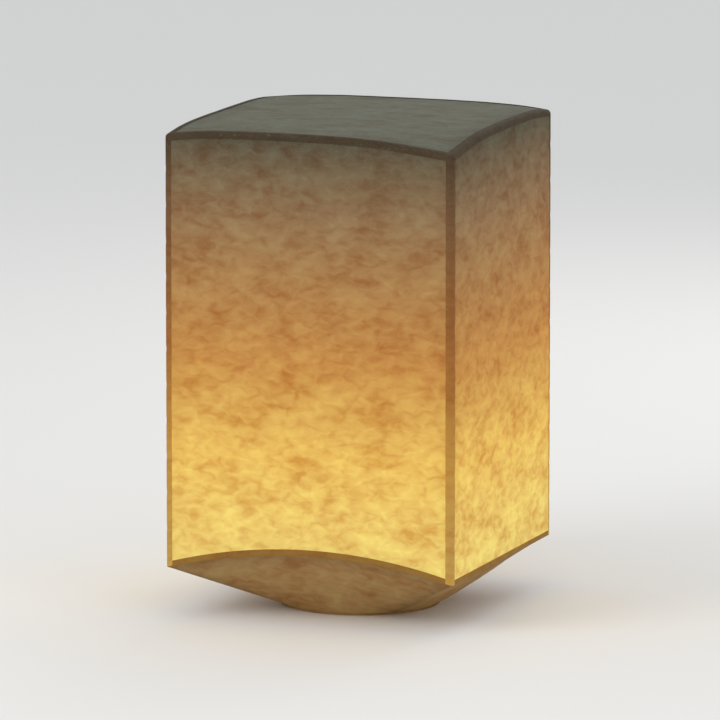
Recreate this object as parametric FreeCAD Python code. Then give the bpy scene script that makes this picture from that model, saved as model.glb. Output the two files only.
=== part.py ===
"""Sky lantern: a square paper envelope on a round bamboo hoop, with a wire cross and a wax fuel roll.

The envelope is cut from thin sheets: four walls, a flat top and four throat sheets that draw the
square body in to the round mouth. The front and back walls end in an arched lower edge, and the
left and right walls in a straight one. Paper tapes cover the seams. The hoop is one split-bamboo
strip with a scarfed joint, whipped with thread. Two iron wires cross the mouth. Each one rises at
the middle into an arch, and the two arches together make the post that the fuel roll drops over.

Millimetres, +Z up. The origin is the centre of the mouth, on the plane the lantern stands on.
Front is -Y.
"""
import FreeCAD, Part
import math
import os

# ---- driving dimensions -------------------------------------------------------------------
SIDE = 560.0              # outer width of the square body
HEIGHT = 900.0            # standing plane to the top of the walls
CORNER_LEVEL = 95.0       # height of the body's four lower corners
ARCH_RISE = 40.0          # how far the front and back walls' lower edges arch above those corners
PAPER = 0.3               # thickness of every sheet and tape

HOOP_RADIUS = 150.0       # outer radius of the bamboo hoop
HOOP_WALL = 2.0           # the strip's thickness, radially
HOOP_DEPTH = 8.0          # the strip's depth, along Z
SCARF_ANGLE = 200.0       # where the scarfed joint starts, in degrees from +X
SCARF_LENGTH = 36.0       # length of the scarfed joint along the strip
SCARF_GAP = 0.25          # the joint's open line
WHIPPING_LENGTH = 9.0     # length of each thread whipping along the strip
WHIPPING_DEPTH = 0.4      # thickness of the thread, let into the strip

HEM_LEG = 4.0             # height of the hem tape up each face of the hoop
LAP = 10.0                # glued lap where a throat sheet meets its wall
TAPE_WIDTH = 9.0          # width of each leg of a seam tape
TOP_FLANGE = 10.0         # turned-down margin of the top sheet
SLIDE_CLEARANCE = 0.3     # between the top sheet's margin and the walls

WIRE_RADIUS = 0.4         # both cross wires
WIRE_ABOVE_HEM = 2.0      # from the hem's upper edge to the wires' centre lines
WIRE_GAP = 0.25           # between a wire and what it bends round
WIRE_BEND = 0.8           # centre-line radius of the bends at the hoop
HOLE_CLEARANCE = 0.2      # round a wire where it passes through the hoop
TWIST_RADIUS = 1.1        # outer radius of the twisted tail
TWIST_LENGTH = 10.0       # length of the twisted tail
TAIL_DROP = 3.0           # length over which the tail comes down to the wire

POST_HALF = 5.0           # half the width of a wire arch at the middle
POST_BEND = 1.5           # centre-line radius of the arch's bends
POST_ABOVE_ROLL = 5.0     # how far the post stands above the fuel roll
TIE_GAP = 0.05            # between the post and the wire tie round it
TIE_WALL = 0.6            # thickness of that tie
TIE_DEPTH = 2.0           # its depth
TIE_ABOVE_WIRE = 2.0      # its lower edge above the wires' centre lines

ROLL_RADIUS = 30.0        # fuel roll
ROLL_HOLE = 8.0           # radius of the hole that drops over the post
ROLL_DEPTH = 20.0
ROLL_CLEARANCE = 0.3      # under the roll, where it sits on the wires
THREAD_WALL = 0.8         # binding threads round the roll
THREAD_DEPTH = 1.6        # depth of each thread's turns
THREAD_INSET = 4.0        # from the roll's ends to each thread

# ---- places worked out from them ----------------------------------------------------------
HALF = SIDE / 2
WALL_INNER = HALF - PAPER
TOP_REACH = WALL_INNER - SLIDE_CLEARANCE
HOOP_BOTTOM = PAPER
HOOP_TOP = HOOP_BOTTOM + HOOP_DEPTH
HOOP_INNER = HOOP_RADIUS - HOOP_WALL
WIRE_LEVEL = HEM_LEG + WIRE_ABOVE_HEM
ARCH_RADIUS = (HALF ** 2 + ARCH_RISE ** 2) / (2 * ARCH_RISE)
ARCH_CENTRE = CORNER_LEVEL + ARCH_RISE - ARCH_RADIUS
ROLL_BOTTOM = WIRE_LEVEL + WIRE_RADIUS + ROLL_CLEARANCE
POST_TOP = ROLL_BOTTOM + ROLL_DEPTH + POST_ABOVE_ROLL
ARCH_STEP = 2 * WIRE_RADIUS + WIRE_GAP

SIDES = ("front", "right", "back", "left")
ARCHED = (True, False, True, False)     # which walls' lower edges are arched, in the order of SIDES
CORNERS = ("front_right", "back_right", "back_left", "front_left")
Z_AXIS = FreeCAD.Vector(0, 0, 1)
ORIGIN = FreeCAD.Vector(0, 0, 0)


def turned(shape, degrees):
    """A copy of shape turned about Z."""
    copy = shape.copy()
    copy.rotate(ORIGIN, Z_AXIS, degrees)
    return copy


def block(low, high):
    """A box from its lowest to its highest corner."""
    size = [b - a for a, b in zip(low, high)]
    return Part.makeBox(*size, FreeCAD.Vector(*low))


def tube(outer, inner, bottom, top):
    """A ring of rectangular section about Z."""
    solid = Part.makeCylinder(outer, top - bottom, FreeCAD.Vector(0, 0, bottom))
    return solid.cut(Part.makeCylinder(inner, top - bottom, FreeCAD.Vector(0, 0, bottom)))


def ring_sector(outer, inner, bottom, top, start, sweep):
    """Part of such a ring, from start degrees through sweep degrees."""
    profile = Part.makePolygon([
        FreeCAD.Vector(inner, 0, bottom), FreeCAD.Vector(outer, 0, bottom),
        FreeCAD.Vector(outer, 0, top), FreeCAD.Vector(inner, 0, top),
        FreeCAD.Vector(inner, 0, bottom)])
    return turned(Part.Face(profile).revolve(ORIGIN, Z_AXIS, sweep), start)


def arch_level(across):
    """Height of an arched lower edge at a distance across from its middle."""
    return ARCH_CENTRE + math.sqrt(ARCH_RADIUS ** 2 - across ** 2)


# ---- envelope -----------------------------------------------------------------------------
def above_arch(lift):
    """Everything above the front wall's arched edge, raised by lift, through the whole depth."""
    reach = HALF + TAPE_WIDTH
    ends = arch_level(reach) + lift
    arc = Part.Arc(FreeCAD.Vector(-reach, -reach, ends),
                   FreeCAD.Vector(0, -reach, arch_level(0) + lift),
                   FreeCAD.Vector(reach, -reach, ends)).toShape()
    top = HEIGHT + TAPE_WIDTH
    rest = Part.makePolygon([
        FreeCAD.Vector(reach, -reach, ends), FreeCAD.Vector(reach, -reach, top),
        FreeCAD.Vector(-reach, -reach, top), FreeCAD.Vector(-reach, -reach, ends)])
    return Part.Face(Part.Wire([arc] + rest.Edges)).extrude(FreeCAD.Vector(0, 2 * reach, 0))


def above_edge(arched, lift=0.0):
    """Everything above the front wall's lower edge, raised by lift, if that edge is arched or not."""
    if arched:
        return above_arch(lift)
    reach = HALF + TAPE_WIDTH
    return block((-reach, -reach, CORNER_LEVEL + lift), (reach, reach, HEIGHT + TAPE_WIDTH))


def walls():
    """Four flat sheets. Front and back run the full width; left and right fit between them."""
    sheets = {}
    for n, side in enumerate(SIDES):
        reach = HALF if ARCHED[n] else WALL_INNER
        sheet = block((-reach, -HALF, 0), (reach, -WALL_INNER, HEIGHT)).common(above_edge(ARCHED[n]))
        sheets[f"wall_{side}"] = turned(sheet, 90 * n)
    return sheets


def foot_tapes():
    """A tape along each wall's lower edge, between the corner tapes."""
    reach = HALF - TAPE_WIDTH
    tapes = {}
    for n, side in enumerate(SIDES):
        strip = block((-reach, -HALF - PAPER, 0), (reach, -HALF, HEIGHT))
        tape = strip.common(above_edge(ARCHED[n])).cut(above_edge(ARCHED[n], TAPE_WIDTH))
        tapes[f"foot_tape_{side}"] = turned(tape, 90 * n)
    return tapes


def corner_tapes():
    """An L-shaped tape over each upright seam, cut at its foot to the two walls' lower edges."""
    edge = HALF - TAPE_WIDTH
    tapes = {}
    for n, corner in enumerate(CORNERS):
        first = block((edge, -HALF - PAPER, 0), (HALF + PAPER, -HALF, HEIGHT))
        second = block((HALF, -HALF, 0), (HALF + PAPER, -edge, HEIGHT))
        first = first.common(above_edge(ARCHED[n]))
        second = second.common(turned(above_edge(not ARCHED[n]), 90))
        tapes[f"corner_tape_{corner}"] = turned(first.fuse(second).removeSplitter(), 90 * n)
    return tapes


def foot_edge(depth, level, arched):
    """A lower edge as a line on the plane y = -depth, raised by level, from corner to corner."""
    ends = arch_level(depth) + level
    left, right = FreeCAD.Vector(-depth, -depth, ends), FreeCAD.Vector(depth, -depth, ends)
    if arched:
        return Part.Arc(left, FreeCAD.Vector(0, -depth, arch_level(0) + level), right).toShape()
    return Part.LineSegment(left, right).toShape()


def hoop_edge(radius, level):
    """The front quarter of a circle about Z, as an edge."""
    near = radius * math.sqrt(0.5)
    return Part.Arc(FreeCAD.Vector(-near, -near, level), FreeCAD.Vector(0, -radius, level),
                    FreeCAD.Vector(near, -near, level)).toShape()


def throat(arched):
    """The front throat sheet, from its lap inside the wall to its margin on the hoop."""
    lap_inner = WALL_INNER - PAPER
    section = [
        hoop_edge(HOOP_RADIUS + PAPER, HOOP_BOTTOM), hoop_edge(HOOP_RADIUS + PAPER, HEM_LEG),
        foot_edge(WALL_INNER, 0, arched), foot_edge(WALL_INNER, LAP, arched),
        foot_edge(lap_inner, LAP, arched), foot_edge(lap_inner, PAPER, arched),
        hoop_edge(HOOP_RADIUS, HEM_LEG + PAPER), hoop_edge(HOOP_RADIUS, HOOP_BOTTOM)]
    loop = section + section[:1]
    faces = [Part.makeRuledSurface(a, b) for a, b in zip(loop, loop[1:])]
    for end in ("FirstParameter", "LastParameter"):
        corner_points = [edge.valueAt(getattr(edge, end)) for edge in loop]
        faces.append(Part.Face(Part.makePolygon(corner_points)))
    shell = Part.Shell(faces)
    shell.sewShape()
    sheet = Part.Solid(Part.Shell(shell.Faces))
    if sheet.Volume < 0:
        sheet.reverse()
    return sheet


def throats():
    """Four sheets that run from the walls' lower edges in to the hoop."""
    return {f"throat_{side}": turned(throat(ARCHED[n]), 90 * n) for n, side in enumerate(SIDES)}


def top_sheet():
    """The flat top, with its margin turned down inside the walls."""
    inside = TOP_REACH - PAPER
    tray = block((-TOP_REACH, -TOP_REACH, HEIGHT - TOP_FLANGE), (TOP_REACH, TOP_REACH, HEIGHT))
    hollow = block((-inside, -inside, HEIGHT - TOP_FLANGE), (inside, inside, HEIGHT - PAPER))
    return {"top_sheet": tray.cut(hollow)}


def top_tapes():
    """A tape along each edge of the top sheet. The left and right ones butt on the other two."""
    inside = TOP_REACH - TAPE_WIDTH
    tapes = {}
    for n, side in enumerate(SIDES):
        length = TOP_REACH if ARCHED[n] else inside
        strip = block((-length, -TOP_REACH, HEIGHT), (length, -inside, HEIGHT + PAPER))
        tapes[f"top_tape_{side}"] = turned(strip, 90 * n)
    return tapes


# ---- hoop ---------------------------------------------------------------------------------
def whipping(start):
    """Thread let into all four faces of the strip, from start degrees on."""
    sweep = math.degrees(WHIPPING_LENGTH / HOOP_RADIUS)
    whole = ring_sector(HOOP_RADIUS, HOOP_INNER, HOOP_BOTTOM, HOOP_TOP, start, sweep)
    core = ring_sector(HOOP_RADIUS - WHIPPING_DEPTH, HOOP_INNER + WHIPPING_DEPTH,
                       HOOP_BOTTOM + WHIPPING_DEPTH, HOOP_TOP - WHIPPING_DEPTH, start, sweep)
    return whole.cut(core)


def scarf_cut():
    """The slanted line of the scarfed joint, from the strip's outer face to its inner face."""
    sweep = SCARF_LENGTH / HOOP_RADIUS
    start = FreeCAD.Vector(HOOP_RADIUS, 0, 0)
    end = FreeCAD.Vector(HOOP_INNER * math.cos(sweep), HOOP_INNER * math.sin(sweep), 0)
    along = end - start
    overrun = SCARF_LENGTH / 6
    slit = Part.makeBox(along.Length + 2 * overrun, SCARF_GAP, HOOP_DEPTH,
                        FreeCAD.Vector(-overrun, -SCARF_GAP / 2, HOOP_BOTTOM))
    slit.rotate(ORIGIN, Z_AXIS, math.degrees(math.atan2(along.y, along.x)))
    slit.translate(start)
    return turned(slit, SCARF_ANGLE)


def hoop():
    """The bamboo strip and the two whippings over its joint."""
    strip = tube(HOOP_RADIUS, HOOP_INNER, HOOP_BOTTOM, HOOP_TOP)
    scarf_sweep = math.degrees(SCARF_LENGTH / HOOP_RADIUS)
    whipping_sweep = math.degrees(WHIPPING_LENGTH / HOOP_RADIUS)
    whippings = {
        "hoop_whipping_1": whipping(SCARF_ANGLE - whipping_sweep / 2),
        "hoop_whipping_2": whipping(SCARF_ANGLE + scarf_sweep - whipping_sweep / 2)}
    strip = strip.cut(scarf_cut())
    for thread in whippings.values():
        strip = strip.cut(thread)
    hole_radius = WIRE_RADIUS + HOLE_CLEARANCE
    for n in range(4):
        drill = Part.makeCylinder(hole_radius, 3 * HOOP_WALL,
                                  FreeCAD.Vector(HOOP_INNER - HOOP_WALL, 0, WIRE_LEVEL),
                                  FreeCAD.Vector(1, 0, 0))
        strip = strip.cut(turned(drill, 45 + 90 * n))
    return {"base_hoop": strip, **whippings}


def hem_tape():
    """The paper hem folded under the hoop, a channel of three thin walls."""
    outside = HOOP_RADIUS + 2 * PAPER
    inside = HOOP_INNER - PAPER
    channel = tube(outside, inside, 0, HEM_LEG)
    return {"hem_tape": channel.cut(tube(HOOP_RADIUS + PAPER, HOOP_INNER, HOOP_BOTTOM, HEM_LEG))}


# ---- burner -------------------------------------------------------------------------------
def bent_path(points, radii):
    """A wire through points in the XZ plane, with an arc of each radius at each inner point."""
    points = [FreeCAD.Vector(x, 0, z) for x, z in points]
    edges = []
    start = points[0]
    for before, corner, after, radius in zip(points, points[1:], points[2:], radii):
        back = (before - corner).normalize()
        on = (after - corner).normalize()
        half_angle = back.getAngle(on) / 2
        reach = radius / math.tan(half_angle)
        middle = (back + on).normalize()
        centre = corner + middle * (radius / math.sin(half_angle))
        first, last = corner + back * reach, corner + on * reach
        edges.append(Part.LineSegment(start, first).toShape())
        edges.append(Part.Arc(first, centre - middle * radius, last).toShape())
        start = last
    edges.append(Part.LineSegment(start, points[-1]).toShape())
    return Part.Wire(edges)


def cross_wire(arch_top):
    """One iron wire along X: through the hoop, over its edge, twisted, and arched at the middle."""
    outside = HOOP_RADIUS + WIRE_RADIUS + WIRE_GAP
    over = HOOP_TOP + WIRE_RADIUS + WIRE_GAP
    inside = HOOP_INNER - WIRE_RADIUS - WIRE_GAP
    tail_level = WIRE_LEVEL + 2 * WIRE_RADIUS
    tail_start = inside - TAIL_DROP
    tail_end = tail_start - TWIST_LENGTH
    half = [(POST_HALF, arch_top), (POST_HALF, WIRE_LEVEL), (outside, WIRE_LEVEL), (outside, over),
            (inside, over), (tail_start, tail_level), (tail_end, tail_level)]
    radii = [POST_BEND, POST_BEND, WIRE_BEND, WIRE_BEND, WIRE_BEND, WIRE_BEND]
    points = [(-x, z) for x, z in reversed(half)] + half
    path = bent_path(points, radii[::-1] + radii)
    first = path.Edges[0]
    start = first.valueAt(first.FirstParameter)
    heading = first.tangentAt(first.FirstParameter)
    profile = Part.Wire(Part.makeCircle(WIRE_RADIUS, start, heading))
    wire = path.makePipeShell([profile], True, False)
    for way in (1, -1):
        base = FreeCAD.Vector(way * tail_end, 0, WIRE_LEVEL + WIRE_RADIUS)
        twist = Part.makeCylinder(TWIST_RADIUS, TWIST_LENGTH, base, FreeCAD.Vector(way, 0, 0))
        wire = wire.fuse(twist)
    return wire.removeSplitter()


def burner():
    """The two cross wires, the tie round their post, and the fuel roll with its threads."""
    tie_inner = POST_HALF + WIRE_RADIUS + TIE_GAP
    tie_bottom = WIRE_LEVEL + TIE_ABOVE_WIRE
    threads = []
    for bottom in (ROLL_BOTTOM + THREAD_INSET,
                   ROLL_BOTTOM + ROLL_DEPTH - THREAD_INSET - THREAD_DEPTH):
        threads.append(tube(ROLL_RADIUS + THREAD_WALL, ROLL_RADIUS, bottom, bottom + THREAD_DEPTH))
    return {
        "cross_wire_upper": turned(cross_wire(POST_TOP), 45),
        "cross_wire_lower": turned(cross_wire(POST_TOP - ARCH_STEP), 135),
        "post_tie": tube(tie_inner + TIE_WALL, tie_inner, tie_bottom, tie_bottom + TIE_DEPTH),
        "fuel_roll": tube(ROLL_RADIUS, ROLL_HOLE, ROLL_BOTTOM, ROLL_BOTTOM + ROLL_DEPTH),
        "fuel_threads": Part.makeCompound(threads)}


def main():
    """Builds every node and writes each one to its own STEP file."""
    os.makedirs("parts", exist_ok=True)
    nodes = {}
    for group in (walls, foot_tapes, corner_tapes, throats, top_sheet, top_tapes, hoop, hem_tape,
                  burner):
        nodes.update(group())
    for name, shape in nodes.items():
        if not shape.isValid() or not shape.Solids:
            raise ValueError(f"{name} isn't a valid solid")
        shape.exportStep(f"parts/{name}.step")
        print(f"{name}: {len(shape.Solids)} solid, {shape.Volume / 1000:.2f} cm3")


main()
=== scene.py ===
"""A lit sky lantern: its paper, bamboo, wire and fuel roll, made and dressed around the fixed design.

Metres, +Z up, in the design's own frame. The front is -Y, and the origin is the centre of the mouth.
"""

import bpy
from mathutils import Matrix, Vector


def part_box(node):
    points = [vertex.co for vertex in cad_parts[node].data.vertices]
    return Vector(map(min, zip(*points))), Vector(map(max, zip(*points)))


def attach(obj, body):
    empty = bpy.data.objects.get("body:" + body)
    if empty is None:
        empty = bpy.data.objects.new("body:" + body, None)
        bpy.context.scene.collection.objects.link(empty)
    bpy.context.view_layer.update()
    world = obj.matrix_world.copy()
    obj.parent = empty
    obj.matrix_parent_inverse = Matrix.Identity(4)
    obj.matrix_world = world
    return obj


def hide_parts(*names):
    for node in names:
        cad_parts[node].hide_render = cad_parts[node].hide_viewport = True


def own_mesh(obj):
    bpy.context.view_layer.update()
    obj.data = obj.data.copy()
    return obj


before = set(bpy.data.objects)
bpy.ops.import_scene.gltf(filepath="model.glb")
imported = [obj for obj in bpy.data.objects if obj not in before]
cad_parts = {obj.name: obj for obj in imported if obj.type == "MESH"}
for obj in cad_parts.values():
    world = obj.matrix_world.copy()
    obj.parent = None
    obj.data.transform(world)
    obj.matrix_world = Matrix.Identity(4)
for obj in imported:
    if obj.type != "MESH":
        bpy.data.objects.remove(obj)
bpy.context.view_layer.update()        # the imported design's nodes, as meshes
LANTERN_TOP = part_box("wall_front")[1].z

import logging
import math
from dataclasses import dataclass, field
from enum import Enum
from typing import Callable, Sequence

import bmesh
import bpy
from mathutils import Matrix, Vector, noise

log = logging.getLogger("sky_lantern")

Colour = tuple[float, float, float]
Socket = bpy.types.NodeSocket
Section = list[tuple[float, float]]

NUMBER, PAINT, PLACE = "NodeSocketFloat", "NodeSocketColor", "NodeSocketVector"
MM = 0.001
FULL_TURN = 2 * math.pi
BODY, LID, FUEL = "lantern", "top", "fuel"
CUT_MAP = "cut"            # UV map: metres on the flat sheet, or along and round a strand
RISE = "rise"              # attribute: height in the filled lantern, 0 at the ground and 1 at the top
SEAM_GAP = "seam_gap"      # attribute: metres to the nearest seam
WINDING = "winding"        # attribute of the fuel roll: 1 in the gaps between its turns
BURN = "burn"              # attribute of the fuel roll: 1 where it burns most


def srgb(red: int, green: int, blue: int) -> Colour:
    """The linear colour of an eight-bit screen colour."""
    def linear(value: int) -> float:
        """One channel's linear share."""
        share = value / 255
        return share / 12.92 if share <= 0.04045 else ((share + 0.055) / 1.055) ** 2.4
    return linear(red), linear(green), linear(blue)


def smooth(share: float) -> float:
    """An S-shaped step from 0 to 1 as share goes from 0 to 1."""
    share = min(max(share, 0.0), 1.0)
    return share * share * (3 - 2 * share)


def spread(low: float, high: float, count: int) -> list[float]:
    """Evenly spaced numbers from low to high, both included."""
    return [low + (high - low) * n / (count - 1) for n in range(count)]


def rough(x: float, y: float, z: float, pitch: float) -> float:
    """Smooth noise from about -1 to 1 whose lumps are about pitch across."""
    return noise.noise(Vector((x, y, z)) / pitch)


def apart(angle: float, other: float) -> float:
    """The smaller angle between two directions."""
    return abs((angle - other + math.pi) % FULL_TURN - math.pi)


def polar(radius: float, angle: float, height: float) -> Vector:
    """A point by its distance from Z, its angle and its height."""
    return Vector((radius * math.cos(angle), radius * math.sin(angle), height))


def circle(count: int) -> list[float]:
    """The angles of a whole turn in even steps, from 0."""
    return [FULL_TURN * n / count for n in range(count)]


def coil(radius: float, start: float, climb: float, turns: float, per_turn: int,
         phase: float = 0.0) -> list[Vector]:
    """A helix round Z.

    Args:
        radius: its radius.
        start: the height of its first point.
        climb: how far it rises in all.
        turns: how many turns it makes.
        per_turn: the steps in one turn.
        phase: the angle of its first point.

    Returns:
        Its points.
    """
    count = int(turns * per_turn)
    return [polar(radius, phase + FULL_TURN * k / per_turn, start + climb * k / count)
            for k in range(count + 1)]


class Side(Enum):
    """The four sides of the lantern, counted in quarter turns from the front."""

    FRONT = 0
    RIGHT = 1
    BACK = 2
    LEFT = 3

    @property
    def label(self) -> str:
        """The side's name in the design."""
        return self.name.lower()

    @property
    def arched(self) -> bool:
        """Whether this wall's lower edge is an arch."""
        return self in (Side.FRONT, Side.BACK)

    @property
    def next(self) -> "Side":
        """The side that shares this one's right-hand seam."""
        return Side((self.value + 1) % len(Side))

    def turn(self, point: Vector) -> Vector:
        """A point of the front, turned to this side."""
        return Matrix.Rotation(self.value * FULL_TURN / len(Side), 3, "Z") @ point


# ---- meshes -------------------------------------------------------------------------------
@dataclass
class Grid:
    """A surface as rows of points, with what the paper's finish needs at each one."""

    points: list[list[Vector]]
    cut: list[list[tuple[float, float]]]
    seam_gap: list[list[float]]

    @classmethod
    def over(cls, firsts: Sequence[float], seconds: Sequence[float],
             place: Callable[[float, float], Vector], gap: Callable[[float, float], float],
             flat: Callable[[float, float], tuple[float, float]]) -> "Grid":
        """A grid over a surface.

        Args:
            firsts: the first measure's values, across.
            seconds: the second measure's values, one for each row.
            place: gives the point at a pair of measures.
            gap: gives the distance to the nearest seam.
            flat: gives the place on the flat sheet.

        Returns:
            The filled grid.
        """
        def table(value: Callable[[float, float], object]) -> list[list]:
            """A value at every pair of measures, row by row."""
            return [[value(a, b) for a in firsts] for b in seconds]
        return cls(table(place), table(flat), table(gap))

    def normals(self, outward: Vector) -> list[list[Vector]]:
        """The surface's unit normals.

        Args:
            outward: roughly the way that the middle of the surface faces.

        Returns:
            One normal for each point, on the outward side.
        """
        rows, columns = len(self.points), len(self.points[0])
        found = []
        for r in range(rows):
            line = []
            for c in range(columns):
                across = self.points[r][min(c + 1, columns - 1)] - self.points[r][max(c - 1, 0)]
                up = self.points[min(r + 1, rows - 1)][c] - self.points[max(r - 1, 0)][c]
                line.append(across.cross(up).normalized())
            found.append(line)
        if found[rows // 2][columns // 2].dot(outward) < 0:
            found = [[-n for n in line] for line in found]
        return found


class Maker:
    """Makes mesh objects and hands each to the body that it rides on."""

    SHARP_DEGREES = 40

    @classmethod
    def from_faces(cls, name: str, points: Sequence[Vector], faces: Sequence[Sequence[int]],
                   cut: Sequence[tuple[float, float]]) -> bpy.types.Object:
        """A smooth-shaded mesh object over a closed surface, with its faces turned outward.

        Args:
            name: the piece's name.
            points: its vertices.
            faces: its faces, as vertex numbers.
            cut: each vertex's place in the CUT_MAP.

        Returns:
            The new object, in the scene.
        """
        mesh = bpy.data.meshes.new(name)
        mesh.from_pydata([tuple(p) for p in points], [], [tuple(f) for f in faces])
        work = bmesh.new()
        work.from_mesh(mesh)
        if work.calc_volume(signed=True) < 0:
            bmesh.ops.reverse_faces(work, faces=work.faces)
            work.to_mesh(mesh)
        work.free()
        layer = mesh.uv_layers.new(name=CUT_MAP)
        for loop in mesh.loops:
            layer.data[loop.index].uv = cut[loop.vertex_index]
        mesh.polygons.foreach_set("use_smooth", [True] * len(mesh.polygons))
        mesh.set_sharp_from_angle(angle=math.radians(cls.SHARP_DEGREES))
        piece = bpy.data.objects.new(name, mesh)
        bpy.context.scene.collection.objects.link(piece)
        cls.mark(piece, RISE, [p.z / LANTERN_TOP for p in points])
        return piece

    @staticmethod
    def mark(piece: bpy.types.Object, name: str, values: Sequence[float]) -> None:
        """Stores a number at each of a piece's vertices."""
        layer = piece.data.attributes.new(name, "FLOAT", "POINT")
        layer.data.foreach_set("value", values)

    @classmethod
    def sheet(cls, name: str, grid: Grid, outward: Vector, thickness: float,
              lift: float) -> bpy.types.Object:
        """A closed thin solid over a grid.

        Args:
            name: the piece's name.
            grid: the surface that the sheet follows.
            outward: roughly the way that the middle of the sheet faces.
            thickness: the sheet's thickness.
            lift: how far the sheet's inner face stands off the grid.

        Returns:
            The new object.
        """
        normals = grid.normals(outward)
        rows, columns = len(grid.points), len(grid.points[0])
        inner = [p + n * lift for line, ns in zip(grid.points, normals) for p, n in zip(line, ns)]
        outer = [p + n * (lift + thickness)
                 for line, ns in zip(grid.points, normals) for p, n in zip(line, ns)]
        count = rows * columns
        faces = []
        for r in range(rows - 1):
            for c in range(columns - 1):
                a, b = r * columns + c, r * columns + c + 1
                d, e = a + columns, b + columns
                faces.append((a, d, e, b))
                faces.append((a + count, b + count, e + count, d + count))
        rim = list(range(columns))
        rim += [r * columns + columns - 1 for r in range(1, rows)]
        rim += [(rows - 1) * columns + c for c in range(columns - 2, -1, -1)]
        rim += [r * columns for r in range(rows - 2, 0, -1)]
        for a, b in zip(rim, rim[1:] + rim[:1]):
            faces.append((a, b, b + count, a + count))
        cut = [place for line in grid.cut for place in line]
        piece = cls.from_faces(name, inner + outer, faces, cut * 2)
        cls.mark(piece, SEAM_GAP, [gap for line in grid.seam_gap for gap in line] * 2)
        return piece

    @classmethod
    def strand(cls, name: str, routes: Sequence[Sequence[Vector]], radius: float,
               sides: int) -> bpy.types.Object:
        """Round strands with closed ends, such as wire or thread, in one object.

        Args:
            name: the piece's name.
            routes: the centre line of each strand.
            radius: the strands' radius.
            sides: how many corners a strand's section has.

        Returns:
            The new object.
        """
        points, faces, cut = [], [], []
        for route in routes:
            start, run = len(points), 0.0
            across = None
            for n, centre in enumerate(route):
                heading = (route[min(n + 1, len(route) - 1)] - route[max(n - 1, 0)]).normalized()
                if across is None:
                    across = heading.orthogonal()
                across = (across - heading * across.dot(heading)).normalized()
                other = heading.cross(across)
                if n:
                    run += (centre - route[n - 1]).length
                for k in range(sides):
                    angle = FULL_TURN * k / sides
                    points.append(centre + (across * math.cos(angle) + other * math.sin(angle)) * radius)
                    cut.append((run, radius * angle))
                if n:
                    ring = start + n * sides
                    for k in range(sides):
                        after = (k + 1) % sides
                        faces.append((ring - sides + k, ring - sides + after, ring + after, ring + k))
            last = start + (len(route) - 1) * sides
            faces.append(tuple(reversed(range(start, start + sides))))
            faces.append(tuple(range(last, last + sides)))
        return cls.from_faces(name, points, faces, cut)

    @classmethod
    def ring(cls, name: str, section: Callable[[float], Section], turns: Sequence[float],
             closed: bool) -> bpy.types.Object:
        """A solid swept round Z whose section changes with the angle.

        Args:
            name: the piece's name.
            section: gives the section at an angle, as (radius, height) corners in order.
            turns: the angles to sweep through.
            closed: whether the last angle joins the first.

        Returns:
            The new object.
        """
        points, cut, faces = [], [], []
        for angle in turns:
            corners = section(angle)
            size, round_it = len(corners), 0.0
            for k, (radius, height) in enumerate(corners):
                if k:
                    round_it += math.dist(corners[k - 1], corners[k])
                points.append(polar(radius, angle, height))
                cut.append((angle * corners[0][0], round_it))
        count = len(turns)
        for n in range(count if closed else count - 1):
            here, there = n * size, (n + 1) % count * size
            for k in range(size):
                after = (k + 1) % size
                faces.append((here + k, there + k, there + after, here + after))
        if not closed:
            faces.append(tuple(range(size)))
            faces.append(tuple(reversed(range((count - 1) * size, count * size))))
        return cls.from_faces(name, points, faces, cut)

    @staticmethod
    def finish(piece: bpy.types.Object, dressing: "Dressing", body: str, node: str) -> None:
        """Dresses a piece, hides the design's node that it stands for, and sets it on its body.

        Args:
            piece: the new object.
            dressing: its finish.
            body: the body that it rides on.
            node: the design's node that it replaces.
        """
        piece.data.materials.append(dressing.material)
        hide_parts(node)
        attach(piece, body)
        log.info("%s: %d faces, on %s", piece.name, len(piece.data.polygons), body)


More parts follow.
